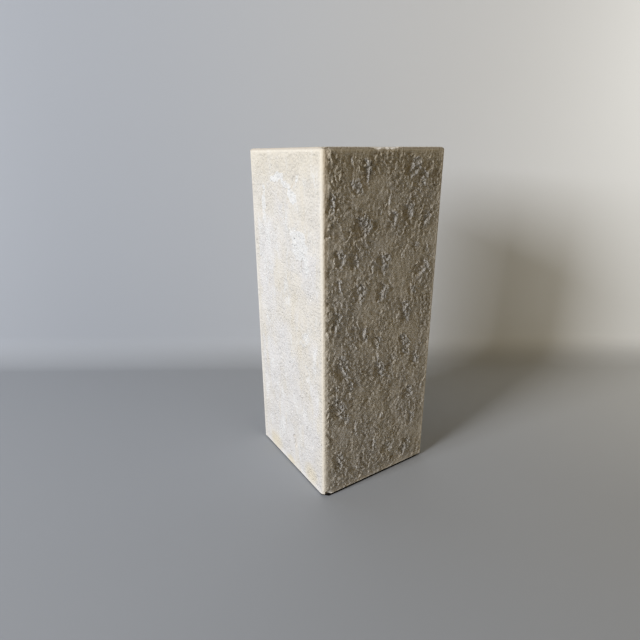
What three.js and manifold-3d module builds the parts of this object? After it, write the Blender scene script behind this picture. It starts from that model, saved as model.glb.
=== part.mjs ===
// Textured plaster display pedestal: one hollow cast block, square in plan.
// Millimetres. +Z is up, the origin is the centre of the footprint on the ground.
// The front face looks along -Y, the left face along -X.
import * as THREE from 'three';
import { mergeVertices } from 'three/addons/utils/BufferGeometryUtils.js';
import Module from 'manifold-3d';

// ---------------------------------------------------------------- driving dimensions
const WIDTH = 305;            // side of the square plan
const HEIGHT = 762;           // overall height
const ARRIS_RADIUS = 6;       // rounding of the four upright edges
const TOP_RADIUS = 3;         // rounding of the edge round the top
const LOWER_RADIUS = 2.5;     // small rounding of the lower edge of the skin
const FOOT_HEIGHT = 4;        // the block stands on a foot this high ...
const FOOT_RECESS = 12;       // ... set back this far, which leaves a dark line at the floor
const WALL = 25;              // thickness of the cast sides
const ROOF = 28;              // thickness of the cast top
const HOLLOW_RADIUS = 14;     // rounding of the hollow's upright corners
const HOLLOW_TOP_RADIUS = 12; // rounding where the hollow meets the roof
const CORNER_STEPS = 6;       // facets round one upright corner
const ROUND_STEPS = 4;        // facets round a horizontal edge

const half = WIDTH / 2;

// ---------------------------------------------------------------- plan and loft
// One ring of the rounded square, counter-clockwise seen from above.
function squareRing(halfSide, radius, steps) {
  const ring = [];
  const r = Math.max(radius, 0.05);
  for (let corner = 0; corner < 4; corner++) {
    const cx = (corner === 0 || corner === 3 ? 1 : -1) * (halfSide - r);
    const cy = (corner < 2 ? 1 : -1) * (halfSide - r);
    for (let i = 0; i <= steps; i++) {
      const a = (corner + i / steps) * Math.PI / 2;
      ring.push([cx + r * Math.cos(a), cy + r * Math.sin(a)]);
    }
  }
  return ring;
}

// A closed body through rings at rising heights. levels: [z, inset from halfSide].
function loft(halfSide, radius, steps, levels) {
  const positions = [];
  const rings = levels.map(([z, inset]) =>
    squareRing(halfSide - inset, radius - Math.min(inset, radius * 0.6), steps).map(([x, y]) => [x, y, z]));
  const n = rings[0].length;
  const tri = (a, b, c) => positions.push(...a, ...b, ...c);
  for (let k = 0; k + 1 < rings.length; k++) {
    for (let i = 0; i < n; i++) {
      const j = (i + 1) % n;
      tri(rings[k][i], rings[k][j], rings[k + 1][j]);
      tri(rings[k][i], rings[k + 1][j], rings[k + 1][i]);
    }
  }
  const low = [0, 0, levels[0][0]];
  const high = [0, 0, levels[levels.length - 1][0]];
  for (let i = 0; i < n; i++) {
    const j = (i + 1) % n;
    tri(low, rings[0][j], rings[0][i]);
    tri(high, rings[rings.length - 1][i], rings[rings.length - 1][j]);
  }
  const g = new THREE.BufferGeometry();
  g.setAttribute('position', new THREE.Float32BufferAttribute(positions, 3));
  return g;
}

// Quarter round as [height, inset] pairs, from the side up to the top face.
function roundOver(z0, radius, steps, upwards) {
  const out = [];
  for (let i = 0; i <= steps; i++) {
    const a = (i / steps) * Math.PI / 2;
    out.push(upwards
      ? [z0 + radius * Math.sin(a), radius * (1 - Math.cos(a))]
      : [z0 + radius * (1 - Math.cos(a)), radius * (1 - Math.sin(a))]);
  }
  return out;
}

const skin = loft(half, ARRIS_RADIUS, CORNER_STEPS, [
  [0, FOOT_RECESS],
  [FOOT_HEIGHT, FOOT_RECESS],
  ...roundOver(FOOT_HEIGHT, LOWER_RADIUS, ROUND_STEPS, false),
  ...roundOver(HEIGHT - TOP_RADIUS, TOP_RADIUS, ROUND_STEPS, true),
]);

const hollow = loft(half - WALL, HOLLOW_RADIUS, 4, [
  [-20, 0],
  ...roundOver(HEIGHT - ROOF - HOLLOW_TOP_RADIUS, HOLLOW_TOP_RADIUS, 3, true),
]);

// ---------------------------------------------------------------- bites in the faces
// Each bite is a shallow, many-sided scoop. u runs from the face's left edge to its
// right edge as one looks at it, z is the height, lean tips the long way to the right.
//   [u, z, width, height, depth, lean in degrees]
const FRONT_BITES = [
  [20, 662, 27, 36, 4.5, 5], [97, 717, 24, 46, 4.0, -5], [74, 688, 26, 36, 3.5, -40],
  [212, 726, 32, 44, 6.0, 35], [246, 703, 22, 28, 4.0, 0], [228, 681, 11, 38, 3.0, 61],
  [168, 627, 26, 32, 4.8, 0], [207, 638, 30, 38, 4.8, -40], [262, 620, 24, 32, 4.0, 10],
  [88, 616, 36, 46, 5.0, -25], [32, 558, 28, 40, 4.0, 10], [74, 548, 32, 30, 4.0, 0],
  [132, 532, 34, 34, 4.5, 0], [262, 514, 32, 50, 5.0, 40], [86, 479, 36, 32, 4.5, -10],
  [142, 474, 32, 44, 5.0, 20], [230, 465, 36, 22, 4.0, 0], [207, 426, 26, 62, 5.5, -18],
  [28, 428, 32, 52, 5.0, 5], [101, 386, 28, 34, 4.5, 0], [216, 338, 30, 58, 5.0, -18],
  [44, 318, 34, 62, 5.5, -22], [146, 302, 32, 72, 5.5, -12], [252, 293, 32, 44, 5.0, -12],
  [64, 263, 26, 30, 4.5, 0], [33, 224, 34, 58, 5.5, -18], [58, 186, 32, 34, 5.5, -35],
  [239, 208, 36, 34, 5.0, 0], [255, 129, 26, 36, 4.5, 5], [112, 112, 18, 38, 4.0, 18],
  [36, 90, 28, 50, 5.0, -10], [175, 75, 26, 50, 5.0, -40], [243, 56, 28, 58, 5.0, 28],
];
const LEFT_BITES = [
  [175, 80, 16, 26, 6.0, -15], [210, 572, 40, 62, 3.0, -30], [60, 636, 30, 60, 3.0, 0],
  [125, 700, 52, 22, 3.0, -15], [186, 668, 34, 28, 3.0, 0], [85, 512, 28, 74, 3.5, 8],
  [50, 392, 34, 58, 3.5, -8], [232, 372, 34, 44, 3.5, 12], [106, 288, 38, 50, 3.5, 15],
  [236, 292, 32, 40, 3.5, -20], [80, 204, 40, 40, 3.5, 0], [240, 158, 34, 48, 3.5, -10],
  [112, 92, 40, 40, 3.5, 20],
];

// Repeatable pseudo-random numbers.
function numbers(seed) {
  let s = seed >>> 0;
  return () => {
    s = (s + 0x6d2b79f5) >>> 0;
    let t = s;
    t = Math.imul(t ^ (t >>> 15), t | 1);
    t ^= t + Math.imul(t ^ (t >>> 7), t | 61);
    return ((t ^ (t >>> 14)) >>> 0) / 4294967296;
  };
}

// The two faces that are not seen are plainer: fewer bites, spread by a loop.
function scatteredBites(seed, count) {
  const next = numbers(seed);
  const bites = [];
  for (let tries = 0; bites.length < count && tries < 4000; tries++) {
    const u = 26 + next() * (WIDTH - 52);
    const z = 40 + next() * (HEIGHT - 90);
    const w = 22 + next() * 16;
    const h = 28 + next() * 34;
    const clear = bites.every((b) => Math.hypot((b[0] - u) / 46, (b[1] - z) / 66) > 1);
    if (clear) bites.push([u, z, w, h, 3.2 + next() * 2, -35 + next() * 70]);
  }
  return bites;
}
const RIGHT_BITES = scatteredBites(11, 18);
const BACK_BITES = scatteredBites(29, 18);

// ---------------------------------------------------------------- booleans
const wasm = await Module();
wasm.setup();

function solid(geometry) {
  const g = geometry.clone();
  g.deleteAttribute('normal');
  g.deleteAttribute('uv');
  const m = mergeVertices(g, 1e-4);
  return new wasm.Manifold(new wasm.Mesh({
    numProp: 3,
    vertProperties: new Float32Array(m.attributes.position.array),
    triVerts: new Uint32Array(m.index.array),
  }));
}

// A scoop: a jittered icosphere, flattened against the face. About the inner quarter
// of it lies inside the block, which gives a steep rim and a bowl floor.
function scoop(bite, faceTurn, seed) {
  const [u, z, w, h, depth, lean] = bite;
  const next = numbers(seed);
  let g = new THREE.IcosahedronGeometry(1, 1);
  g.deleteAttribute('normal');
  g.deleteAttribute('uv');
  g = mergeVertices(g, 1e-4);
  const p = g.attributes.position;
  for (let i = 0; i < p.count; i++) {
    const k = 0.9 + 0.2 * next();
    p.setXYZ(i, p.getX(i) * k, p.getY(i) * (0.97 + 0.06 * next()), p.getZ(i) * k);
  }
  const cap = 0.866;
  g.scale(w / 2 / cap, 2 * depth, h / 2 / cap);
  g.rotateY(THREE.MathUtils.degToRad(lean));
  g.translate(u - half, -half - depth, z);
  g.rotateZ(faceTurn);
  return g;
}

// Face turns about Z, from the front face: left, back and right follow it round.
const FACES = [
  [FRONT_BITES, 0],
  [LEFT_BITES, -Math.PI / 2],
  [BACK_BITES, Math.PI],
  [RIGHT_BITES, Math.PI / 2],
];

let body = solid(skin);
let seed = 1;
for (const [bites, turn] of FACES) {
  for (const bite of bites) body = body.subtract(solid(scoop(bite, turn, seed++)));
}

// The worn stretch of the top edge above the front face: a long shallow bite with
// deeper nibbles in it, and the small broken piece at the foot of the near corner.
const TOP_NOTCH = { from: 104, to: 174, drop: 2.6, inward: 11, nibbles: [123, 147, 159.5], deeper: 2 };
const LOWER_CHIP = { u: 13, z: 11, width: 20, height: 13, depth: 4.5 };

function edgeBite(x, y, z, sx, sy, sz, n) {
  const next = numbers(n);
  let g = new THREE.IcosahedronGeometry(1, 1);
  g.deleteAttribute('normal');
  g.deleteAttribute('uv');
  g = mergeVertices(g, 1e-4);
  const p = g.attributes.position;
  for (let i = 0; i < p.count; i++) {
    const k = 0.88 + 0.24 * next();
    p.setXYZ(i, p.getX(i) * k, p.getY(i) * k, p.getZ(i) * k);
  }
  g.scale(sx, sy, sz);
  g.translate(x, y, z);
  return g;
}
const notchMiddle = (TOP_NOTCH.from + TOP_NOTCH.to) / 2 - half;
const notchHalf = (TOP_NOTCH.to - TOP_NOTCH.from) / 2;
body = body.subtract(solid(edgeBite(notchMiddle, -half, HEIGHT + 3, notchHalf * 1.12, TOP_NOTCH.inward, TOP_NOTCH.drop + 2.2, 301)));
TOP_NOTCH.nibbles.forEach((u, i) => {
  body = body.subtract(solid(edgeBite(u - half, -half, HEIGHT, 4.5, 6, TOP_NOTCH.drop + TOP_NOTCH.deeper, 311 + i)));
});
body = body.subtract(solid(edgeBite(LOWER_CHIP.u - half, -half, LOWER_CHIP.z,
  LOWER_CHIP.width / 2, LOWER_CHIP.depth, LOWER_CHIP.height / 2, 331)));

body = body.subtract(solid(hollow));

// ---------------------------------------------------------------- the piece
const out = body.getMesh();
const geometry = new THREE.BufferGeometry();
const vertices = new Float32Array((out.vertProperties.length / out.numProp) * 3);
for (let i = 0; i < vertices.length / 3; i++) {
  for (let c = 0; c < 3; c++) vertices[3 * i + c] = out.vertProperties[out.numProp * i + c];
}
geometry.setAttribute('position', new THREE.BufferAttribute(vertices, 3));
geometry.setIndex(new THREE.BufferAttribute(new Uint32Array(out.triVerts), 1));
geometry.computeVertexNormals();

const plaster = new THREE.MeshStandardMaterial({ color: 0xdfd8c9, roughness: 0.92, metalness: 0 });

const pedestal = new THREE.Mesh(geometry, plaster);
pedestal.name = 'pedestal';

const group = new THREE.Group();
group.add(pedestal);

export default group;
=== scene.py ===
import math

import bpy
import numpy as np
from mathutils import Matrix, Vector


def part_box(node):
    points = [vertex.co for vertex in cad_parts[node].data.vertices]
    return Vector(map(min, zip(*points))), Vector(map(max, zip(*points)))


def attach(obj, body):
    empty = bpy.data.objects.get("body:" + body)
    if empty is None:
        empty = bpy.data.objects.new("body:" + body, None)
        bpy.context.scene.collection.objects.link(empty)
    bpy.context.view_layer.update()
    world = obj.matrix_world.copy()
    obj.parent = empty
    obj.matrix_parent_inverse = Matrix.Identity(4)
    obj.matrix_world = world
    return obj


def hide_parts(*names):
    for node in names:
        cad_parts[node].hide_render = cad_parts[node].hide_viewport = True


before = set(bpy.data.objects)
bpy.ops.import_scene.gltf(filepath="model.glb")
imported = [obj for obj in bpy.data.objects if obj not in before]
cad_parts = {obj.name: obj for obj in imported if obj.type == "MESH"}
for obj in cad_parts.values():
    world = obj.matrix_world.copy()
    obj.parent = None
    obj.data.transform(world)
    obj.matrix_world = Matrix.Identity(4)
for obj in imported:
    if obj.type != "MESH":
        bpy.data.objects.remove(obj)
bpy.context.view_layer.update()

# ------------------------------------------------------------------ sizes (millimetres)
lo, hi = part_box("pedestal")
WIDTH = (hi.x - lo.x) * 1000.0
HEIGHT = (hi.z - lo.z) * 1000.0
HALF = WIDTH / 2.0
ARRISES = np.array([6.0, 6.0, 5.0, 5.5])   # rounding of the upright edges: front-right, right-back, back-left, left-front
TOP_ROUND = 3.0          # rounding of the top edge
LOW_ROUND = 2.5          # rounding of the skin's lower edge
FOOT_H, FOOT_IN = 4.5, 12.0   # the foot stands back under the skin, which comes lower on the left
LEFT_DROP = 2.8
WALL, ROOF = 25.0, 28.0
HOLLOW_R, HOLLOW_TOP_R = 14.0, 12.0

# ------------------------------------------------------------------ repeatable noise
_tables = {}


def _table(seed):
    if seed not in _tables:
        rng = np.random.RandomState(seed)
        g = rng.normal(size=(256, 3))
        g /= np.linalg.norm(g, axis=1)[:, None]
        _tables[seed] = (rng.permutation(256), g, rng.uniform(0, 256, 3))
    return _tables[seed]


def noise(p, wave, seed):
    """Gradient noise at the points p (n, 3) in mm, about -1 to 1, with lumps about wave mm apart."""
    perm, grads, shift = _table(seed)
    q = p / wave + shift
    cell = np.floor(q).astype(np.int64)
    f = q - cell
    w = f * f * f * (f * (f * 6 - 15) + 10)
    total = np.zeros(len(p))
    for dx in (0, 1):
        for dy in (0, 1):
            for dz in (0, 1):
                h = perm[(perm[(perm[(cell[:, 0] + dx) & 255] + cell[:, 1] + dy) & 255] + cell[:, 2] + dz) & 255]
                g = grads[h]
                d = g[:, 0] * (f[:, 0] - dx) + g[:, 1] * (f[:, 1] - dy) + g[:, 2] * (f[:, 2] - dz)
                ww = (w[:, 0] if dx else 1 - w[:, 0]) * (w[:, 1] if dy else 1 - w[:, 1]) * (w[:, 2] if dz else 1 - w[:, 2])
                total += ww * d
    return total * 1.6


def shards(p, size, tilt, lift, seed, lean_x=0.0):
    """Broken facets about size mm across: each has a slope and a level of its own, in mm."""
    rng = np.random.RandomState(seed)
    perm = rng.permutation(256)
    spot, lean, level = rng.uniform(0.1, 0.9, (256, 3)), rng.normal(size=(256, 3)) * tilt, rng.uniform(-lift, lift, 256)
    lean[:, 0] += lean_x
    q = p / size + rng.uniform(0, 256, 3)
    cell = np.floor(q).astype(np.int64)
    best = np.full(len(p), 1e9)
    value = np.zeros(len(p))
    for dx in (-1, 0, 1):
        for dy in (-1, 0, 1):
            for dz in (-1, 0, 1):
                c = cell + np.array([dx, dy, dz])
                h = perm[(perm[(perm[c[:, 0] & 255] + c[:, 1]) & 255] + c[:, 2]) & 255]
                away = q - c - spot[h]
                far = np.sum(away * away, 1)
                nearer = far < best
                best = np.where(nearer, far, best)
                value = np.where(nearer, level[h] + size * np.sum(away * lean[h], 1), value)
    return value


def step(a, b, x):
    t = np.clip((x - a) / (b - a), 0, 1)
    return t * t * (3 - 2 * t)


# ------------------------------------------------------------------ broken places in the faces
# u runs from a face's left edge to its right edge as one looks at it, z is the height, in mm.
# Each bite: u, z, width, height, depth, lean in degrees (the top tips to the right).
# It falls away at its left and climbs back over broken facets at its right. Two more numbers,
# where they are given, say how broken its right is and how much painted shade darkens its left, from 0 to 1.
FRONT = [
    (20, 662, 26, 34, 4.2, 5), (100, 718, 22, 44, 3.4, -5), (72, 690, 24, 34, 3.0, -40),
    (215, 726, 42, 40, 5.4, 30), (248, 703, 20, 28, 3.6, 0),
    (157, 662, 18, 26, 2.6, 10), (170, 627, 22, 26, 4.2, 0), (210, 636, 36, 30, 4.4, -35),
    (262, 620, 24, 30, 3.8, 10), (92, 614, 38, 44, 4.4, -25), (133, 642, 12, 16, 2.4, 0),
    (38, 560, 32, 34, 3.6, 10), (76, 549, 28, 26, 3.4, 0), (122, 533, 20, 22, 3.0, 0), (148, 536, 34, 40, 3.8, 0),
    (237, 562, 24, 14, 2.8, 0), (271, 553, 14, 20, 2.8, 0),
    (263, 512, 36, 40, 4.6, 35), (38, 500, 26, 28, 3.0, -30), (86, 479, 44, 34, 4.0, -10),
    (146, 473, 34, 38, 4.6, 15), (237, 463, 34, 18, 3.4, 0), (216, 415, 36, 52, 4.8, -14),
    (30, 426, 32, 46, 4.6, 0), (101, 386, 26, 32, 4.0, 0), (137, 359, 34, 20, 2.8, 0),
    (221, 333, 30, 56, 4.6, -20), (48, 314, 38, 56, 5.0, -22), (147, 293, 32, 54, 4.8, -12),
    (188, 308, 20, 14, 2.4, 0), (256, 292, 34, 34, 4.6, -12), (32, 268, 14, 24, 2.4, 0), (68, 264, 26, 24, 4.0, 0),
    (35, 222, 38, 48, 4.8, -18), (58, 189, 30, 20, 3.6, -35), (84, 158, 18, 40, 3.0, -8),
    (240, 206, 40, 26, 4.4, 0), (283, 210, 12, 16, 2.4, 0), (256, 128, 24, 34, 4.0, 5),
    (158, 170, 20, 16, 2.4, 30), (140, 93, 18, 30, 3.2, 0),
    (38, 88, 32, 46, 4.4, -10), (184, 70, 42, 30, 4.4, -30), (243, 56, 34, 44, 4.8, 28),
    (86, 46, 24, 20, 2.8, -20), (34, 26, 14, 14, 2.2, 0), (99, 19, 10, 10, 2.0, 0),
]
LEFT = [
    (174, 80, 13, 27, 6.5, -22, 0.0, 1.7), (212, 574, 54, 52, 0.9, -30, 1.0, 0.1), (60, 636, 15, 84, 0.7, 2, 0.8, 0.0),
    (128, 705, 58, 15, 0.8, -12, 0.9, 0.1), (165, 692, 34, 12, 0.8, 10, 0.8, 0.1), (187, 669, 36, 20, 0.9, 20, 0.9, 0.2),
    (183, 598, 36, 15, 0.8, 0, 0.8, 0.1), (206, 700, 14, 34, 0.7, 25, 0.7, 0.0), (85, 512, 22, 60, 1.0, 8, 0.5, 0.1),
    (243, 540, 17, 42, 0.9, 0, 0.8, 0.2), (50, 392, 24, 50, 1.2, -8, 0.5, 0.2), (232, 376, 26, 40, 1.5, 12, 0.7, 0.4),
    (106, 290, 26, 36, 1.4, 15, 0.5, 0.3), (236, 292, 22, 40, 1.4, -20, 0.5, 0.3), (80, 204, 30, 30, 1.3, 0, 0.5, 0.2),
    (240, 158, 18, 44, 1.6, -10, 0.5, 0.5), (112, 92, 26, 60, 1.1, 20, 0.7, 0.1), (30, 400, 10, 12, 1.8, 0, 0.2, 0.6),
    (28, 200, 10, 14, 1.8, 0, 0.2, 0.6), (245, 445, 9, 10, 2.2, 0, 0.3, 0.7), (227, 570, 8, 10, 2.2, 0, 0.3, 0.7),
    (97, 310, 9, 12, 1.8, 0, 0.2, 0.5), (236, 380, 8, 9, 2.0, 0, 0.2, 0.6), (236, 156, 7, 12, 2.2, 0, 0.2, 0.6),
    (40, 520, 40, 16, 0.8, 5, 0.6, 0.0), (105, 560, 20, 34, 0.9, 15, 0.5, 0.0), (220, 360, 44, 14, 0.8, -25, 0.6, 0.1),
    (66, 250, 16, 44, 0.8, 10, 0.5, 0.0), (255, 120, 14, 40, 0.8, 0, 0.6, 0.0), (150, 440, 20, 30, 0.8, 10, 0.4, 0.0),
]
# Each lip: u1, z1, u2, z2, drop. The skin is lower on the line's left hand and rises sharply at the line.
FRONT_LIPS = [
    (70, 705, 65, 746, 2.0), (170, 716, 171, 742, 1.8), (198, 705, 224, 719, 2.2), (210, 671, 242, 690, 2.4),
    (180, 473, 164, 502, 2.0), (216, 427, 197, 453, 2.6), (226, 396, 216, 427, 2.0), (226, 397, 244, 412, 2.0),
    (148, 316, 139, 342, 2.0), (108, 97, 118, 127, 2.0), (173, 81, 168, 97, 1.6), (268, 500, 244, 521, 2.2),
    (238, 526, 292, 529, 2.0), (199, 164, 181, 191, 2.0), (4, 601, 27, 604, 2.2), (186, 304, 198, 302, 1.5),
    (122, 660, 142, 690, 1.2), (46, 380, 70, 352, 1.4), (180, 232, 214, 246, 1.3), (112, 212, 138, 236, 1.4),
    (186, 120, 216, 128, 1.3), (262, 345, 286, 372, 1.4), (120, 430, 150, 418, 1.2), (196, 540, 214, 566, 1.3),
]
# The worn stretch of the top edge over the front face: u, and how far the edge has dropped.
NOTCH_U = [97, 107, 113, 117.5, 123, 129.5, 134, 140.5, 144, 147, 149.5, 153, 157, 159.5, 162.5, 167, 172, 177, 181]
NOTCH_DROP = [0, 0.5, 1.3, 3.0, 3.9, 2.8, 1.9, 1.6, 3.0, 4.4, 3.2, 1.8, 3.2, 4.2, 2.8, 2.1, 1.3, 0.5, 0]
LEFT_LIPS = [
    (40, 560, 52, 690, 0.9), (150, 610, 176, 668, 1.0), (176, 668, 214, 716, 1.0), (120, 655, 150, 690, 1.0),
    (222, 500, 226, 560, 1.0), (66, 430, 74, 480, 0.9), (200, 330, 214, 380, 0.9), (120, 180, 132, 240, 0.9),
]


def scattered(seed, count):
    """Bites spread over a face that the eye finds no order in."""
    rng = np.random.RandomState(seed)
    out = []
    for _ in range(6000):
        if len(out) >= count:
            break
        u, z = rng.uniform(20, WIDTH - 20), rng.uniform(24, HEIGHT - 30)
        w, h = rng.uniform(12, 36), rng.uniform(16, 50)
        row = (u, z, w, h, rng.uniform(2.2, 4.6), rng.uniform(-38, 38))
        if all(math.hypot((b[0] - u) / (0.62 * (b[2] + w)), (b[1] - z) / (0.55 * (b[3] + h))) > 1 for b in out):
            out.append(row)
    return out


def lips(seed, count):
    rng = np.random.RandomState(seed)
    out = []
    for _ in range(count):
        u, z, t, s = rng.uniform(20, WIDTH - 20), rng.uniform(30, HEIGHT - 40), rng.uniform(0.5, 2.6), rng.uniform(14, 38)
        out.append((u, z, u + s * math.cos(t), z + s * math.sin(t), rng.uniform(1.0, 2.2)))
    return out


BITES = {"front": FRONT, "right": scattered(5, 40), "back": scattered(8, 40), "left": LEFT}
LIPS = {"front": FRONT_LIPS, "right": lips(15, 16), "back": lips(18, 16), "left": LEFT_LIPS}
ROUGH = {"front": 1.0, "right": 0.8, "back": 0.8, "left": 0.50}

# ------------------------------------------------------------------ the grid that makes the skin
FACES = ["front", "right", "back", "left"]
NORMAL = {"front": (0, -1), "right": (1, 0), "back": (0, 1), "left": (-1, 0)}
ALONG = {"front": (1, 0), "right": (0, 1), "back": (-1, 0), "left": (0, -1)}
FLAT_COLS = {"front": 140, "right": 52, "back": 52, "left": 84}
CORNER_COLS = 5

cols = []  # (face index, share along the flat or None, corner angle or None)
for k, name in enumerate(FACES):
    n = FLAT_COLS[name]
    for i in range(n):
        cols.append((k, (i + 0.5) / n, None))
    for i in range(CORNER_COLS + 1):
        cols.append((k, None, i / CORNER_COLS * math.pi / 2))
NC = len(cols)
face_of = np.array([c[0] for c in cols])
share = np.array([c[1] if c[1] is not None else np.nan for c in cols])
angle = np.array([c[2] if c[2] is not None else np.nan for c in cols])
normal2 = np.array([NORMAL[FACES[k]] for k in face_of], float)
along2 = np.array([ALONG[FACES[k]] for k in face_of], float)
flat = ~np.isnan(share)
s0 = np.where(flat, share, 0)
a0 = np.where(flat, 0, angle)
outward = np.where(flat[:, None], normal2, normal2 * np.cos(a0)[:, None] + along2 * np.sin(a0)[:, None])


def plan(half, radii):
    """The columns' places on a square of that half side, its four corners rounded."""
    radii = np.broadcast_to(radii, (4,))
    before, after = radii[face_of - 1], radii[face_of]
    on_flat = normal2 * half + along2 * (-(half - before) + s0 * (2 * half - before - after))[:, None]
    on_corner = (normal2 + along2) * (half - after)[:, None] + outward * after[:, None]
    return np.where(flat[:, None], on_flat, on_corner)


def arris(trim):
    return np.maximum(ARRISES - trim, 1.0)


rows = []  # (plan xy (NC, 2), z, upward share of the normal, kind)


def add(half, radii, z, up, kind):
    rows.append((plan(half, radii), z, up, kind))


# top, from near the centre outwards
for f in (0.02, 0.12, 0.25, 0.38, 0.5, 0.61, 0.71, 0.79, 0.86, 0.91, 0.945, 0.97, 0.985):
    rows.append((plan(HALF - TOP_ROUND, arris(2)) * f, HEIGHT, 1.0, "top"))
ROUND_ROWS = 5
for i in range(ROUND_ROWS + 1):
    a = math.pi / 2 * (1 - i / ROUND_ROWS)
    inset = TOP_ROUND * (1 - math.cos(a))
    add(HALF - inset, arris(0.6 * inset), HEIGHT - TOP_ROUND + TOP_ROUND * math.sin(a), math.sin(a), "edge")
z_top, z_low = HEIGHT - TOP_ROUND, FOOT_H + LOW_ROUND
SIDE_ROWS = 238
for i in range(1, SIDE_ROWS):
    add(HALF, ARRISES, z_top + (z_low - z_top) * i / SIDE_ROWS, 0.0, "side")
for i in range(4):
    a = math.pi / 2 * i / 3
    add(HALF - LOW_ROUND * (1 - math.cos(a)), ARRISES, z_low - LOW_ROUND * math.sin(a), -math.sin(a), "low")
add(HALF - FOOT_IN, arris(2), FOOT_H, 0, "foot")
add(HALF - FOOT_IN, arris(2), FOOT_H * 0.5, 0, "foot")
add(HALF - FOOT_IN, arris(2), 0.0, 0, "foot")
add(HALF - WALL + 5, HOLLOW_R - 3, 0.0, 0, "foot")
add(HALF - WALL, HOLLOW_R, 0.0, 0, "foot")
inner_top = HEIGHT - ROOF
for z in (2, 60, 180, 320, 460, 600, 690, inner_top - HOLLOW_TOP_R):
    add(HALF - WALL, HOLLOW_R, z, 0, "inside")
for i in range(1, 4):
    a = math.pi / 2 * i / 3
    inset = HOLLOW_TOP_R * (1 - math.cos(a))
    add(HALF - WALL - inset, HOLLOW_R - 0.6 * inset, inner_top - HOLLOW_TOP_R + HOLLOW_TOP_R * math.sin(a), 0, "inside")
for f in (0.8, 0.5, 0.2):
    rows.append((plan(HALF - WALL - HOLLOW_TOP_R, 4) * f, inner_top, 0, "inside"))
NR = len(rows)

P = np.zeros((NR, NC, 3))
N = np.zeros((NR, NC, 3))
kind = np.array([r[3] for r in rows])
for j, (xy, z, up, _) in enumerate(rows):
    P[j, :, :2] = xy
    P[j, :, 2] = z
    level = math.sqrt(max(0.0, 1 - up * up))
    N[j, :, :2] = outward * level
    N[j, :, 2] = up
skin = np.isin(kind, ["side", "edge", "top", "low"])
# the skin reaches lower on the left, where only a hairline shows under it
to_left = (step(-0.35, -0.85, outward[:, 0]) * step(2, 24, HALF + plan(HALF, ARRISES)[:, 1]))[None, :]
z = P[..., 2]
outer = np.isin(kind, ["side", "low"])[:, None] | ((kind == "foot")[:, None] & (z > 0))
ease = np.where(z > FOOT_H, np.clip((60 - z) / (60 - FOOT_H), 0, 1), z / FOOT_H)
P[..., 2] = np.where(outer, z - LEFT_DROP * to_left * ease, z)


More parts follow.
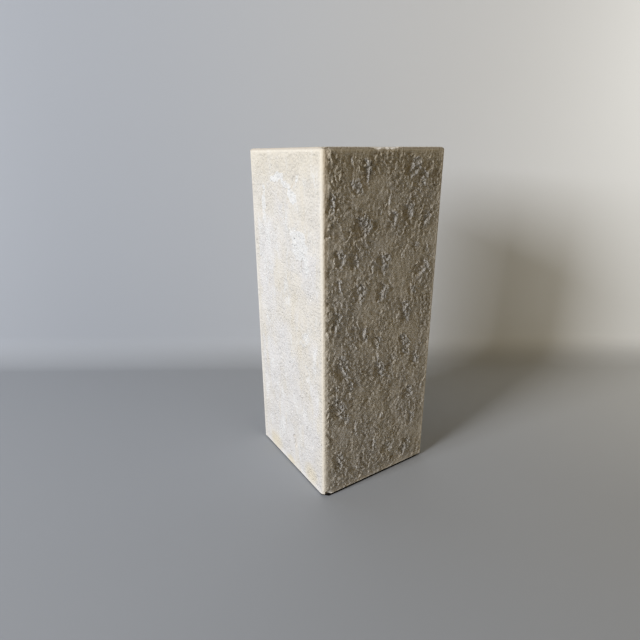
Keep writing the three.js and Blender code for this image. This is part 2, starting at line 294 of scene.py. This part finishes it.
# ------------------------------------------------------------------ relief
def relief(p, n):
    """The skin at the points p (n, 3), whose outward normals are n: the points moved in by the
    relief, and how freshly broken or lit (white, partly painted highlight) and how deep and shaded (brown painted
    shade) each is."""
    count = len(p)
    on_top = step(0.3, 0.95, n[:, 2])
    to_arris = HALF - np.minimum(np.abs(p[:, 0]), np.abs(p[:, 1]))
    to_top = HEIGHT - p[:, 2]
    along = {f: p[:, :2] @ np.array(ALONG[f]) + HALF for f in FACES}
    out_of = {f: p[:, :2] @ np.array(NORMAL[f]) for f in FACES}
    rough = np.zeros(count)
    for f in FACES:
        rough = np.maximum(rough, ROUGH[f] * step(HALF - 9, HALF - 0.5, out_of[f]))
    rough = np.where(on_top > 0.5, 0.3, rough)

    # warped coordinates, so that nothing runs straight
    q = p * np.array([1.0, 1.0, 0.95])
    q[:, 2] = np.where(out_of["left"] > HALF - 0.6, 0.7 * p[:, 2], q[:, 2])
    bend = np.stack([noise(p, 21, 31), noise(p, 21, 32), noise(p, 21, 33)], -1)
    kink = np.stack([noise(p, 9, 34), noise(p, 9, 35), noise(p, 9, 36)], -1)
    q = q + 2.6 * bend + 1.0 * kink

    swell = 0.45 * noise(p, 90, 1) + 0.25 * noise(p, 42, 2)
    crest_a = 0.42 - np.abs(noise(q, 8.6, 3)) * 1.7
    crest_b = 0.42 - np.abs(noise(q, 6.0, 4)) * 1.7
    lump = noise(q, 12.5, 5)
    grit = noise(q, 4.6, 6)
    patchy = np.clip(0.8 + 1.1 * noise(p, 48, 7) + 0.45 * noise(p, 24, 8), 0.3, 1.6)
    chips = shards(q, 8.0, 0.16, 0.22, 21)
    stipple = 0.46 * crest_a + 0.52 * crest_b + 0.42 * lump + 0.48 * grit + 0.8 * chips
    plates = 0.75 * step(-0.06, 0.06, noise(p + 3 * bend + 2.2 * kink, 44, 12)) + 0.6 * step(0.20, 0.30, noise(p + 3 * kink, 30, 13))
    pocks = step(0.34, 0.50, noise(p * np.array([1, 1, 0.8]) + 2.5 * kink, 15, 14))

    near = np.maximum(HALF + p[:, 0], HALF + p[:, 1])     # how far round from the near arris
    upward = step(420, 700, p[:, 2])
    rim = step(2.5, 11.5, to_arris) * step(5, 12, to_top)
    margin = rim * step(6.5 + 3.0 * upward, 12.5 + 5.0 * upward, near)
    roll = 1.1 * np.clip(1 - near / 13, 0, 1) ** 2 * step(HALF - 9, HALF - 3, out_of["front"]) * (1 - 0.9 * upward)
    foot = 0.45 + 0.55 * step(8, 26, p[:, 2])

    depth = np.zeros(count)
    fresh_and_highlight = np.zeros(count)
    painted_shade = np.zeros(count)
    broken = np.zeros(count)
    crag = 1.35 * shards(q, 8.0, 0.46, 0.8, 22, -0.55) + 0.8 * shards(q, 5.4, 0.45, 0.5, 23, -0.25) \
        + 1.2 * (0.42 - np.abs(noise(q, 7.0, 15)) * 1.9) + 0.9 * noise(q, 10.0, 16)
    crag = np.minimum(crag, 1.5)
    ragged = 0.26 * noise(p, 13, 19) + 0.16 * noise(p, 7, 20)
    for f in FACES:
        idx = np.nonzero((out_of[f] > HALF - 5) & (on_top < 0.5))[0]
        if not len(idx):
            continue
        u, z = along[f][idx], p[idx, 2]
        k2 = np.array(ALONG[f])
        wu = 7.0 * (bend[idx, :2] @ k2) + 3.4 * (kink[idx, :2] @ k2)
        wz = 7.0 * bend[idx, 2] + 3.4 * kink[idx, 2]
        for bu, bz, w, h, dp, lean, *more in BITES[f]:
            torn, shade_amount = more if more else (min(1.0, dp / 3.4), min(1.0, dp / 3.6))
            t = math.radians(lean)
            du, dz = u - bu, z - bz
            m = np.nonzero(np.hypot(du, dz) < 0.75 * max(w, h) + 10)[0]
            if not len(m):
                continue
            du, dz = du[m] + wu[m] * min(1.0, w / 24), dz[m] + wz[m] * min(1.0, h / 24)
            x = (du * math.cos(t) - dz * math.sin(t)) / (w / 2)
            y = (du * math.sin(t) + dz * math.cos(t)) / (h / 2)
            g = idx[m]
            r = np.hypot(x, y) + ragged[g]
            inside = step(1.12, 0.80, r)
            sink = np.minimum(step(-1.05, -0.25, x), 0.35 * step(1.02, 0.55, x + ragged[g]) + 0.65 * step(1.0, -0.1, x))
            d = dp * inside * sink
            deeper = d > depth[g]
            depth[g] = np.maximum(depth[g], d)
            reach = step(1.40, 0.95, r) * torn
            # painted highlight: except on the left face, the white of a fresh break is laid only on the bite's
            # right-hand climb, which faces the light; the white itself is real broken plaster
            bright = step(-0.20, 0.25, x) if f != "left" else 1.0
            broken[g] = np.maximum(broken[g], reach * (0.25 + 0.75 * bright))
            fresh_and_highlight[g] = np.maximum(fresh_and_highlight[g], (1.15 if f != "left" else 1.0) * reach * bright)
            # painted shade: brown on the bite's left half, which falls away from the light
            painted_shade[g] = np.where(deeper, np.maximum(painted_shade[g], 0.38 * inside * step(-1.1, -0.6, x) * step(0.4, -0.1, x) * shade_amount), painted_shade[g])
        for u1, z1, u2, z2, dp in LIPS[f]:
            length = math.hypot(u2 - u1, z2 - z1)
            eu, ez = (u2 - u1) / length, (z2 - z1) / length
            du, dz = u - u1 + 0.5 * wu, z - z1 + 0.5 * wz
            run = (du * eu + dz * ez) / length
            aside = -du * ez + dz * eu          # towards the line's left hand
            m = (run > -0.1) & (run < 1.1) & (aside > -4) & (aside < 22)
            g = idx[m]
            ends = step(-0.08, 0.12, run[m]) * step(1.08, 0.88, run[m])
            d = 1.35 * dp * ends * step(-0.9, 0.9, aside[m]) * np.exp(-np.maximum(aside[m], 0) / 7.0)
            depth[g] = np.maximum(depth[g], d)
            fresh_and_highlight[g] = np.maximum(fresh_and_highlight[g], (0.7 if f != "left" else 0.4) * ends * step(2.2, 0.4, np.abs(aside[m] + 0.3)))
            # painted shade: brown in the crease on the low side of the lip
            painted_shade[g] = np.maximum(painted_shade[g], 0.5 * ends * step(0.5, 3, aside[m]) * step(10, 4, aside[m]))

    # the worn stretch of the top edge over the front face
    fu = along["front"]
    at_edge = step(11, 3, HALF + p[:, 1]) * step(8, 1, to_top)
    drop = np.interp(fu, NOTCH_U, NOTCH_DROP)
    notch = at_edge * drop
    # the near corner is blunt at its foot, with a small fresh break beside it
    r = np.hypot(np.maximum(fu - 13, 0) / 11.0, (p[:, 2] - 9) / 7.0) + 0.20 * kink[:, 0]
    blunt = step(1.0, 0.60, r) * step(HALF - 13, HALF - 3, -p[:, 1]) * np.clip((21 - fu) / 9, 0, 1)
    r = np.hypot((fu - 13.5) / 8.0, (p[:, 2] - 9.5) / 6.5) + 0.15 * kink[:, 0]
    chip = step(1.2, 0.70, r) * step(HALF - 5, HALF - 1, -p[:, 1])
    depth = np.maximum(depth, 4.8 * blunt)
    fresh_and_highlight = np.maximum(fresh_and_highlight, 2.2 * chip)

    grain = rough * (0.10 + 0.90 * margin) * foot
    sunk = 1.0 + 0.8 * step(HALF - 6, HALF - 0.5, out_of["front"]) + 0.45 * swell
    inset = 0.25 + sunk * np.maximum(rim, step(18, 9, near)) + roll - (0.6 + 0.5 * (out_of["front"] > HALF - 1)) * broken * margin \
        + grain * (1.46 * patchy * stipple + (0.35 + 0.65 * patchy) * (0.9 * plates + 1.3 * pocks) - 0.55) \
        + depth + broken * crag * rough * margin * (1.28 - 0.48 * (out_of["left"] > HALF - 1))
    inset = np.where(on_top > 0.5, 0.25 + 0.22 * stipple + 0.5 * pocks * step(0.1, 0.5, noise(p, 60, 18)), inset)
    inset = np.maximum(inset, 0.03)
    low = p[:, 2] < FOOT_H + LOW_ROUND
    inset = np.where(low, np.minimum(inset, 1.0 + 3.8 * blunt), inset)
    teeth = np.max([step(2.6, 0.6, np.abs(fu - u)) for u in (123, 147, 159.5)], axis=0)
    fresh_and_highlight = np.maximum(fresh_and_highlight, np.clip(notch, 0, 1.6) * np.maximum(step(0.30, 0.75, n[:, 2]), teeth))
    # painted shade: brown in the pocks
    painted_shade = np.maximum(painted_shade, 0.55 * pocks * margin * step(0.7, 0.9, rough))
    # painted shade: a browner strip on the front beside the near arris, where the face lies in full shade
    painted_shade = np.maximum(painted_shade, 0.72 * step(17, 9, near) * step(HALF - 4, HALF - 1, out_of["front"]) * step(260, 560, p[:, 2]))
    # the near arris is rubbed rounder towards the top
    rub = step(540, 740, p[:, 2]) * step(20, 1, HALF + p[:, 1]) * step(HALF - 10, HALF - 1, -p[:, 0])
    inset = inset + 1.5 * rub
    moved = p - n * inset[:, None]
    # the top's four corners are blunted
    corner = step(13, 1, HALF - np.abs(p[:, 0])) * step(13, 1, HALF - np.abs(p[:, 1])) * step(9, 1, to_top)
    moved[:, 2] -= notch + np.where(p[:, 0] > 0, 2.3, np.where(p[:, 1] < 0, 0.6, 1.6)) * corner
    moved[:, 1] += 0.3 * notch
    coarse = np.where(on_top > 0.5, 0.25, rough * (0.12 + 0.88 * margin) * (0.6 + 0.4 * np.minimum(patchy, 1)) * foot)
    coarse = np.clip(np.maximum(coarse, broken * (0.5 + 0.9 * step(0.6, 1.0, rough))), 0, 1.4)
    # rubbed arrises, and the browner front, which the fresh breaks cut through: partly a browner skin, partly painted
    # shade on the face that the light only grazes
    worn = step(40, 0, to_arris) * (on_top < 0.5)
    edge = step(7, 1, to_top) * (on_top < 0.95)
    # yellow damp stains low on the left face
    lu = along["left"]
    stain = np.zeros(count)
    for su, sz, sw, sh in ((70, 24, 34, 26), (246, 30, 30, 30), (150, 12, 26, 12)):
        stain = np.maximum(stain, step(1.8, 0.0, np.hypot((lu - su) / sw, (p[:, 2] - sz) / sh)))
    stain = stain * step(HALF - 12, HALF - 4, out_of["left"])
    tan_and_shade = 0.35 + 0.65 * step(HALF - 14, HALF - 7, out_of["front"]) - 0.35 * step(HALF - 14, HALF - 7, out_of["left"]) * step(HALF - 1, HALF - 9, out_of["front"])
    return moved, {"fresh_and_highlight": fresh_and_highlight, "painted_shade": painted_shade, "coarse": coarse, "worn": worn, "tan_and_shade": np.clip(tan_and_shade, 0, 1), "edge": edge, "stain": stain}


flat_p, flat_n = P[skin].reshape(-1, 3), N[skin].reshape(-1, 3)
moved, found = relief(flat_p, flat_n)
nrow = int(skin.sum())
smooth_P = P.copy()
P[skin] = moved.reshape(nrow, NC, 3)
# painted shade: the foot, the inside of the hollow and the skin's underside are marked to be coloured near black
recess_shade = ((kind == "foot") | (kind == "inside")).astype(float)
recess_shade[np.nonzero(kind == "low")[0][1:]] = (0.3, 1.0, 1.0)
masks = {"recess_shade": np.repeat(recess_shade[:, None], NC, 1)}
for label, values in found.items():
    # off the skin, the brown painted shade is full
    full = np.full((NR, NC), 1.0 if label == "painted_shade" else 0.3)
    full[skin] = values.reshape(nrow, NC)
    masks[label] = full

# ------------------------------------------------------------------ mesh
verts = P.reshape(-1, 3) / 1000.0
top_pole = len(verts)
in_pole = top_pole + 1
verts = np.vstack([verts, [[0, 0, P[0, :, 2].mean() / 1000.0], [0, 0, inner_top / 1000.0]]])
j = np.arange(NR - 1)[:, None]
i = np.arange(NC)[None, :] + 0 * j
i2 = (i + 1) % NC
A, B, C, D = j * NC + i, (j + 1) * NC + i, (j + 1) * NC + i2, j * NC + i2
# each grid cell is split along the diagonal that lies closer to the true relief at its middle
other = np.zeros((NR - 1, NC), bool)
cells = np.nonzero(skin[:-1] & skin[1:])[0]
mid = (smooth_P[cells] + smooth_P[cells + 1] + np.roll(smooth_P[cells], -1, 1) + np.roll(smooth_P[cells + 1], -1, 1)) / 4
mid_n = (N[cells] + N[cells + 1] + np.roll(N[cells], -1, 1) + np.roll(N[cells + 1], -1, 1)).reshape(-1, 3)
mid_n /= np.linalg.norm(mid_n, axis=1)[:, None]
true_mid = relief(mid.reshape(-1, 3), mid_n)[0]
V = P.reshape(-1, 3)
gap_ac = np.abs(np.sum(((V[A[cells]] + V[C[cells]]).reshape(-1, 3) / 2 - true_mid) * mid_n, 1))
gap_bd = np.abs(np.sum(((V[B[cells]] + V[D[cells]]).reshape(-1, 3) / 2 - true_mid) * mid_n, 1))
other[cells] = (gap_bd < gap_ac).reshape(len(cells), NC)
o = other[..., None]
first = np.where(o, np.stack([A, B, D], -1), np.stack([A, B, C], -1)).reshape(-1, 3)
second = np.where(o, np.stack([B, C, D], -1), np.stack([A, C, D], -1)).reshape(-1, 3)
tris = np.stack([first, second], 1).reshape(-1, 3)
faces = tris.tolist()
faces += [(top_pole, c, (c + 1) % NC) for c in range(NC)]
base = (NR - 1) * NC
faces += [(in_pole, base + (c + 1) % NC, base + c) for c in range(NC)]
mesh = bpy.data.meshes.new("pedestal_surface")
mesh.from_pydata(verts.tolist(), [], faces)
mesh.update()
mesh.polygons.foreach_set("use_smooth", np.ones(len(mesh.polygons), bool))
mesh.set_sharp_from_angle(angle=math.radians(32))
for label, full in masks.items():
    a = mesh.attributes.new(label, "FLOAT", "POINT")
    a.data.foreach_set("value", np.concatenate([full.reshape(-1), [0, 0]]).astype(np.float32))
mesh.update()
pedestal = bpy.data.objects.new("pedestal_surface", mesh)
bpy.context.scene.collection.objects.link(pedestal)


# ------------------------------------------------------------------ plaster
class Tree:
    """Short calls for a material's nodes."""

    def __init__(self, material):
        self.n = material.node_tree.nodes
        self.l = material.node_tree.links

    def link(self, a, b):
        self.l.new(a, b)

    def attribute(self, name):
        node = self.n.new("ShaderNodeAttribute")
        node.attribute_name = name
        return node.outputs["Fac"]

    def noise(self, vector, scale, detail=3.0, rough=0.55):
        node = self.n.new("ShaderNodeTexNoise")
        node.inputs["Scale"].default_value = scale
        node.inputs["Detail"].default_value = detail
        node.inputs["Roughness"].default_value = rough
        self.link(vector, node.inputs["Vector"])
        return node.outputs["Fac"]

    def ramp(self, value, low, high):
        node = self.n.new("ShaderNodeMapRange")
        node.interpolation_type = "SMOOTHSTEP"
        node.inputs["From Min"].default_value = low
        node.inputs["From Max"].default_value = high
        self.link(value, node.inputs["Value"])
        return node.outputs["Result"]

    def math(self, op, a, b=None):
        node = self.n.new("ShaderNodeMath")
        node.operation = op
        for k, v in enumerate([a, b]):
            if v is None:
                continue
            if isinstance(v, (int, float)):
                node.inputs[k].default_value = v
            else:
                self.link(v, node.inputs[k])
        return node.outputs[0]

    def mix(self, fac, a, b):
        node = self.n.new("ShaderNodeMix")
        node.data_type = "RGBA"
        if isinstance(fac, (int, float)):
            node.inputs["Factor"].default_value = fac
        else:
            self.link(fac, node.inputs["Factor"])
        for socket, v in ((node.inputs[6], a), (node.inputs[7], b)):
            if isinstance(v, tuple):
                socket.default_value = (*v, 1)
            else:
                self.link(v, socket)
        return node.outputs[2]


def plaster_material():
    m = bpy.data.materials.new("plaster")
    m.use_nodes = True
    m.node_tree.nodes.clear()
    t = Tree(m)
    out = t.n.new("ShaderNodeOutputMaterial")
    shader = t.n.new("ShaderNodeBsdfPrincipled")
    t.link(shader.outputs[0], out.inputs["Surface"])
    where = t.n.new("ShaderNodeTexCoord").outputs["Object"]
    fresh_and_highlight, painted_shade = t.attribute("fresh_and_highlight"), t.attribute("painted_shade")
    axes = t.n.new("ShaderNodeSeparateXYZ")
    t.link(where, axes.inputs[0])
    height = axes.outputs["Z"]

    chalk = (0.815, 0.79, 0.76)
    cream = (0.80, 0.755, 0.675)
    yellow = (0.79, 0.725, 0.60)
    grey = (0.735, 0.715, 0.69)
    # the white is warmer on the front, under the same mark: partly a browner skin, partly painted shade
    white = t.mix(t.attribute("tan_and_shade"), (0.875, 0.867, 0.84), (0.93, 0.885, 0.815))
    brown = (0.52, 0.42, 0.29)
    fine = t.noise(where, 120.0, 3.0, 0.6)
    blot = t.noise(where, 55.0, 4.0, 0.65)

    def about(value, amount):
        return t.math("ADD", value, t.math("MULTIPLY", t.math("SUBTRACT", fine, 0.5), amount))

    # chalky below, creamier upwards, clouded all over
    warmth = t.math("ADD", t.noise(where, 9.0, 4.0), t.math("MULTIPLY", height, 0.22))
    base = t.mix(t.ramp(about(warmth, 0.15), 0.46, 0.72), chalk, cream)
    base = t.mix(t.math("MULTIPLY", t.ramp(about(t.noise(where, 23.0, 3.0), 0.25), 0.56, 0.70), 0.45), base, grey)
    streak = t.n.new("ShaderNodeMapping")
    streak.inputs["Scale"].default_value = (1.0, 1.0, 0.38)
    t.link(where, streak.inputs["Vector"])
    base = t.mix(t.math("MULTIPLY", t.ramp(t.noise(streak.outputs[0], 42.0, 4.0, 0.62), 0.52, 0.68), 0.7), base, white)
    tall_stain = t.n.new("ShaderNodeMapping")
    tall_stain.inputs["Scale"].default_value = (1.0, 1.0, 0.24)
    t.link(where, tall_stain.inputs["Vector"])
    base = t.mix(t.math("MULTIPLY", t.ramp(about(t.noise(tall_stain.outputs[0], 31.0, 3.0, 0.6), 0.1), 0.54, 0.70), 0.5), base, yellow)
    # cream towards the arrises, tan on them
    worn, tan_and_shade = t.attribute("worn"), t.attribute("tan_and_shade")
    base = t.mix(t.math("MULTIPLY", t.ramp(about(worn, 0.25), 0.25, 0.85), 0.75), base, cream)
    on_arris = t.ramp(about(worn, 0.06), 0.82, 0.98)
    upper = t.math("ADD", 0.08, t.math("MULTIPLY", t.ramp(about(height, 0.08), 0.22, 0.56), 0.42))
    base = t.mix(t.math("MULTIPLY", on_arris, upper), base, (0.725, 0.69, 0.63))
    base = t.mix(t.math("MULTIPLY", t.math("MULTIPLY", on_arris, t.ramp(about(height, 0.05), 0.57, 0.71)), 0.38), base, (0.54, 0.48, 0.40))
    # yellower along the top and in a few stains near the foot
    top_band = t.math("MULTIPLY", t.ramp(about(height, 0.10), 0.665, 0.755), 0.7)
    base = t.mix(top_band, base, yellow)
    base = t.mix(t.math("MULTIPLY", t.ramp(about(t.attribute("stain"), 0.35), 0.1, 1.0), 0.75), base, (0.80, 0.715, 0.545))
    # partly a browner skin, partly painted shade: the front, which the light only grazes, is multiplied browner
    skin_brown = t.n.new("ShaderNodeMix")
    skin_brown.data_type, skin_brown.blend_type = "RGBA", "MULTIPLY"
    t.link(t.math("MULTIPLY", tan_and_shade, 0.9), skin_brown.inputs["Factor"])
    t.link(base, skin_brown.inputs[6])
    skin_brown.inputs[7].default_value = (0.935, 0.89, 0.805, 1)
    base = skin_brown.outputs[2]
    # the handled top edge
    base = t.mix(t.math("MULTIPLY", t.ramp(about(t.attribute("edge"), 0.3), 0.1, 0.9), 0.8), base, (0.53, 0.47, 0.39))
    # painted shade: brown in the bites' left halves, the creases under the lips, the pocks and the strip beside the
    # near arris
    base = t.mix(t.math("MULTIPLY", t.ramp(about(painted_shade, 0.7), 0.25, 0.95), 0.75), base, brown)
    # white of fresh breaks: real broken plaster, with painted highlight on the lit climbs of the bites
    torn = t.math("ADD", about(fresh_and_highlight, 0.7), t.math("MULTIPLY", t.math("SUBTRACT", blot, 0.5), 1.6))
    base = t.mix(t.math("MULTIPLY", t.ramp(torn, 0.40, 0.85), 0.9), base, white)
    # painted shade: near black in the recess under the skin, on the skin's underside and inside the hollow, where
    # little light reaches
    base = t.mix(t.ramp(t.attribute("recess_shade"), 0.2, 0.8), base, (0.07, 0.06, 0.05))
    t.link(base, shader.inputs["Base Color"])
    shader.inputs["Roughness"].default_value = 0.9
    shader.inputs["Specular IOR Level"].default_value = 0.3

    # the grain that is finer than the modelled relief
    tall = t.n.new("ShaderNodeMapping")
    tall.inputs["Scale"].default_value = (1.0, 1.0, 0.95)
    t.link(where, tall.inputs["Vector"])
    cells = t.n.new("ShaderNodeTexVoronoi")
    cells.feature = "SMOOTH_F1"
    cells.inputs["Scale"].default_value = 175.0
    cells.inputs["Smoothness"].default_value = 0.25
    t.link(tall.outputs[0], cells.inputs["Vector"])
    grain = t.math("ADD", t.noise(tall.outputs[0], 230.0, 4.0, 0.68), t.math("MULTIPLY", cells.outputs["Distance"], -0.55))
    bump = t.n.new("ShaderNodeBump")
    bump.inputs["Strength"].default_value = 1.0
    bump.inputs["Distance"].default_value = 0.0090
    t.link(t.math("MULTIPLY", grain, t.math("ADD", 0.08, t.math("MULTIPLY", t.attribute("coarse"), 0.92))), bump.inputs["Height"])
    t.link(bump.outputs[0], shader.inputs["Normal"])
    return m


mesh.materials.append(plaster_material())
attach(pedestal, "root")
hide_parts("pedestal")

# ------------------------------------------------------------------ camera
camera_data = bpy.data.cameras.new("camera")
camera = bpy.data.objects.new("camera", camera_data)
bpy.context.scene.collection.objects.link(camera)
camera_data.sensor_fit = "HORIZONTAL"
camera_data.sensor_width = 36.0
camera_data.lens = 25.7553
camera_data.clip_start = 0.01
forward = Vector((0.50587254, 0.79144089, -0.34309517)).normalized()
right = forward.cross(Vector((0, 0, 1))).normalized()
up = right.cross(forward)
roll = math.radians(-0.417)
r2 = math.cos(roll) * right + math.sin(roll) * up
u2 = -math.sin(roll) * right + math.cos(roll) * up
camera.matrix_world = Matrix((
    (r2.x, u2.x, -forward.x, -0.617260),
    (r2.y, u2.y, -forward.y, -0.866688),
    (r2.z, u2.z, -forward.z, 0.751823),
    (0, 0, 0, 1),
))
bpy.context.scene.camera = camera

# ------------------------------------------------------------------ plain studio sweep
heading = Vector((forward.x, forward.y, 0)).normalized()
side = Vector((heading.y, -heading.x, 0))
origin = Vector((-0.617260, -0.866688, 0))
wall_at, cove = 1.62, 0.10
profile = [(-1.6, 0.0), (wall_at - cove, 0.0)]
for k in range(1, 9):
    a = math.pi / 2 * k / 8
    profile.append((wall_at - cove + cove * math.sin(a), cove * (1 - math.cos(a))))
profile.append((wall_at, 2.6))
sv, sf = [], []
for n_, (d, z) in enumerate(profile):
    for s_ in (-3.2, 3.6):
        p = origin + heading * d + side * s_
        sv.append((p.x, p.y, z))
    if n_:
        b = 2 * n_
        sf.append((b - 2, b - 1, b + 1, b))
sweep_mesh = bpy.data.meshes.new("sweep")
sweep_mesh.from_pydata(sv, [], sf)
sweep_mesh.polygons.foreach_set("use_smooth", [True] * len(sf))
sweep = bpy.data.objects.new("sweep", sweep_mesh)
bpy.context.scene.collection.objects.link(sweep)
sm = bpy.data.materials.new("pale_sweep")
sm.use_nodes = True
sb = sm.node_tree.nodes["Principled BSDF"]
rise = sm.node_tree.nodes.new("ShaderNodeSeparateXYZ")
sm.node_tree.links.new(sm.node_tree.nodes.new("ShaderNodeTexCoord").outputs["Object"], rise.inputs[0])


def sweep_ramp(value, low, high, start, end):
    """start where value is low, to end where it is high; start and end are numbers or outputs."""
    node = sm.node_tree.nodes.new("ShaderNodeMapRange")
    node.interpolation_type = "SMOOTHSTEP"
    sm.node_tree.links.new(value, node.inputs["Value"])
    for label, v in (("From Min", low), ("From Max", high), ("To Min", start), ("To Max", end)):
        if isinstance(v, (int, float)):
            node.inputs[label].default_value = v
        else:
            sm.node_tree.links.new(v, node.inputs[label])
    return node.outputs["Result"]


# painted light and shade: the floor and the wall paler towards the right (the wall much more so) and bluer towards the
# left, as they are lit; the wall is paler than the floor
floor_tone = sweep_ramp(rise.outputs["X"], -0.6, 1.5, 0.36, 0.48)
wall_tone = sweep_ramp(rise.outputs["X"], -0.6, 1.5, 0.43, 0.92)
tone = sweep_ramp(rise.outputs["Z"], 0.0, 0.10, floor_tone, wall_tone)
tint = sm.node_tree.nodes.new("ShaderNodeMix")
tint.data_type, tint.blend_type = "RGBA", "MULTIPLY"
tint.inputs["Factor"].default_value = 1.0
sm.node_tree.links.new(tone, tint.inputs[6])
cool_painted_light = sm.node_tree.nodes.new("ShaderNodeMix")
cool_painted_light.data_type = "RGBA"
sm.node_tree.links.new(sweep_ramp(rise.outputs["X"], -0.6, 1.0, 0.0, 1.0), cool_painted_light.inputs["Factor"])
cool_painted_light.inputs[6].default_value, cool_painted_light.inputs[7].default_value = (0.95, 1.0, 1.08, 1), (1.0, 1.0, 0.98, 1)
sm.node_tree.links.new(cool_painted_light.outputs[2], tint.inputs[7])
# painted shadow: the floor in the gap under the block is coloured near black, as next to no light reaches it
far = sm.node_tree.nodes.new("ShaderNodeMath")
far.operation = "MAXIMUM"
for k, axis in enumerate(("X", "Y")):
    away = sm.node_tree.nodes.new("ShaderNodeMath")
    away.operation = "ABSOLUTE"
    sm.node_tree.links.new(rise.outputs[axis], away.inputs[0])
    sm.node_tree.links.new(away.outputs[0], far.inputs[k])
corners = sm.node_tree.nodes.new("ShaderNodeMath")
corners.operation = "ADD"
short = sm.node_tree.nodes.new("ShaderNodeMath")
short.operation = "SUBTRACT"
short.inputs[1].default_value = 0.137
within = sm.node_tree.nodes.new("ShaderNodeMath")
within.operation = "MAXIMUM"
for k in (0, 1):
    sm.node_tree.links.new(far.inputs[k].links[0].from_socket, corners.inputs[k])
sm.node_tree.links.new(corners.outputs[0], short.inputs[0])
sm.node_tree.links.new(far.outputs[0], within.inputs[0])
sm.node_tree.links.new(short.outputs[0], within.inputs[1])
painted_gap_shadow = sm.node_tree.nodes.new("ShaderNodeMix")
painted_gap_shadow.data_type = "RGBA"
sm.node_tree.links.new(sweep_ramp(within.outputs[0], 0.1485, 0.1515, 0.0, 1.0), painted_gap_shadow.inputs["Factor"])
painted_gap_shadow.inputs[6].default_value = (0.02, 0.017, 0.014, 1)
sm.node_tree.links.new(tint.outputs[2], painted_gap_shadow.inputs[7])
sm.node_tree.links.new(painted_gap_shadow.outputs[2], sb.inputs["Base Color"])
sb.inputs["Roughness"].default_value = 0.95
sb.inputs["Specular IOR Level"].default_value = 0.1
sweep_mesh.materials.append(sm)


# ------------------------------------------------------------------ light
def area(name, place, target, width, height, power, colour):
    data = bpy.data.lights.new(name, "AREA")
    data.shape = "RECTANGLE"
    data.size, data.size_y = width, height
    data.energy = power
    data.color = colour
    ob = bpy.data.objects.new(name, data)
    ob.location = place
    ob.rotation_euler = (Vector(target) - Vector(place)).to_track_quat("-Z", "Y").to_euler()
    bpy.context.scene.collection.objects.link(ob)
    return ob


# The key is a broad soft source far out on the left, in line with the front face, which
# it only grazes, and 22 degrees up. The rest is a dim warm surround.
REACH = 4.0
key = area("key", (-0.1525 - REACH, -0.385, 0.40 + 0.41 * REACH), (-0.1525, -0.1525, 0.40), 1.36, 1.75, 193, (0.96, 0.985, 1.045))
# a weak one for the right of the wall only
over = origin + heading * 0.7 + side * 1.5
onto = origin + heading * wall_at + side * 2.2
area("wall_fill", (over.x, over.y, 1.3), (onto.x, onto.y, 0.95), 1.0, 1.0, 6.0, (1.0, 1.0, 0.97))
world = bpy.data.worlds.new("world")
bpy.context.scene.world = world
world.use_nodes = True
world.node_tree.nodes["Background"].inputs["Color"].default_value = (1.0, 0.79, 0.43, 1)
world.node_tree.nodes["Background"].inputs["Strength"].default_value = 0.182
bpy.context.scene.view_settings.view_transform = "Standard"
